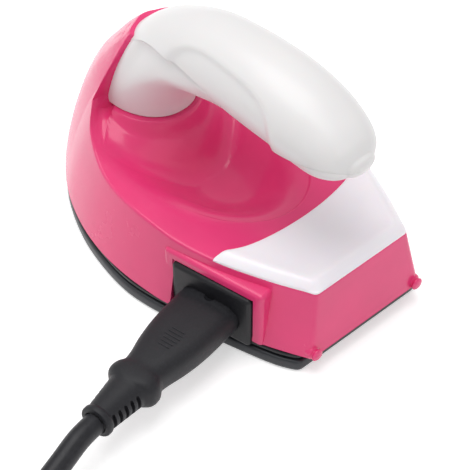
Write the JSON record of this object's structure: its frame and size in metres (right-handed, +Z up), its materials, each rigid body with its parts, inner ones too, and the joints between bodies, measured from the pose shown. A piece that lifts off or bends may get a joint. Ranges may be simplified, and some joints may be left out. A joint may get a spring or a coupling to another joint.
{
  "type": "travel iron",
  "caption": "Small electric travel iron with a teardrop sole, finger dish, one-ended arched handle and a detachable two-pole cord set.",
  "frame": {"origin": "under the middle of the iron's box, on the soleplate's lower face, the cord set left out", "axes": "+X towards the iron's nose, +Y towards the inlet side, +Z up out of the soleplate"},
  "size_m": [0.1233, 0.2294, 0.0684],
  "materials": {
    "casing": "pink, glossy",
    "handle": "white, satin",
    "cap": "milky white, satin gloss",
    "black_moulding": "black, fine satin",
    "sole": "dark grey coated aluminium",
    "cord_black": "black, soft satin",
    "brass": "plain",
    "steel": "plain",
    "ceramic": "ceramic, matte",
    "fuse_body": "matte",
    "lead_sleeve": "woven sleeve"
  },
  "bodies": {
    "iron": {"body_shell": "casing", "grip_cover": "handle", "handle_stem": "handle", "rear_cap": "cap", "base_ring": "black_moulding", "inlet_housing": "black_moulding", "soleplate": "sole", "inlet_pin_line": "brass", "inlet_pin_neutral": "brass", "heater_tab_live": "brass", "heater_tab_return": "brass", "thermostat_tab_rear": "brass", "thermostat_tab_front": "brass", "heater_clamp_plate": "steel", "heater_screw_rear": "steel", "heater_screw_front": "steel", "sole_screw_heel_left": "steel", "sole_screw_heel_right": "steel", "sole_screw_nose": "steel", "handle_screw_left": "steel", "handle_screw_right": "steel", "cover_screw_rear": "steel", "cover_screw_front": "steel", "fuse_clip": "steel", "heating_element": "ceramic", "thermostat": "ceramic", "thermal_fuse": "fuse_body", "lead_inlet_to_thermostat": "lead_sleeve", "lead_thermostat_to_fuse": "lead_sleeve", "lead_fuse_to_heater": "lead_sleeve", "lead_heater_to_inlet": "lead_sleeve"},
    "cord_set": {"cord_connector": "cord_black", "contact_line": "brass", "contact_neutral": "brass", "cord": "cord_black", "cord_coil": "cord_black", "cord_tail": "cord_black", "cord_tie": "cord_black", "mains_plug": "cord_black", "plug_pin_left": "steel", "plug_pin_right": "steel"}
  },
  "joints": [
    {"name": "cord_set_slide", "type": "slide", "parent": "iron", "child": "cord_set", "axis": [-0.1908, 0.9816, 0], "range_m": [0, 0.02]}
  ]
}
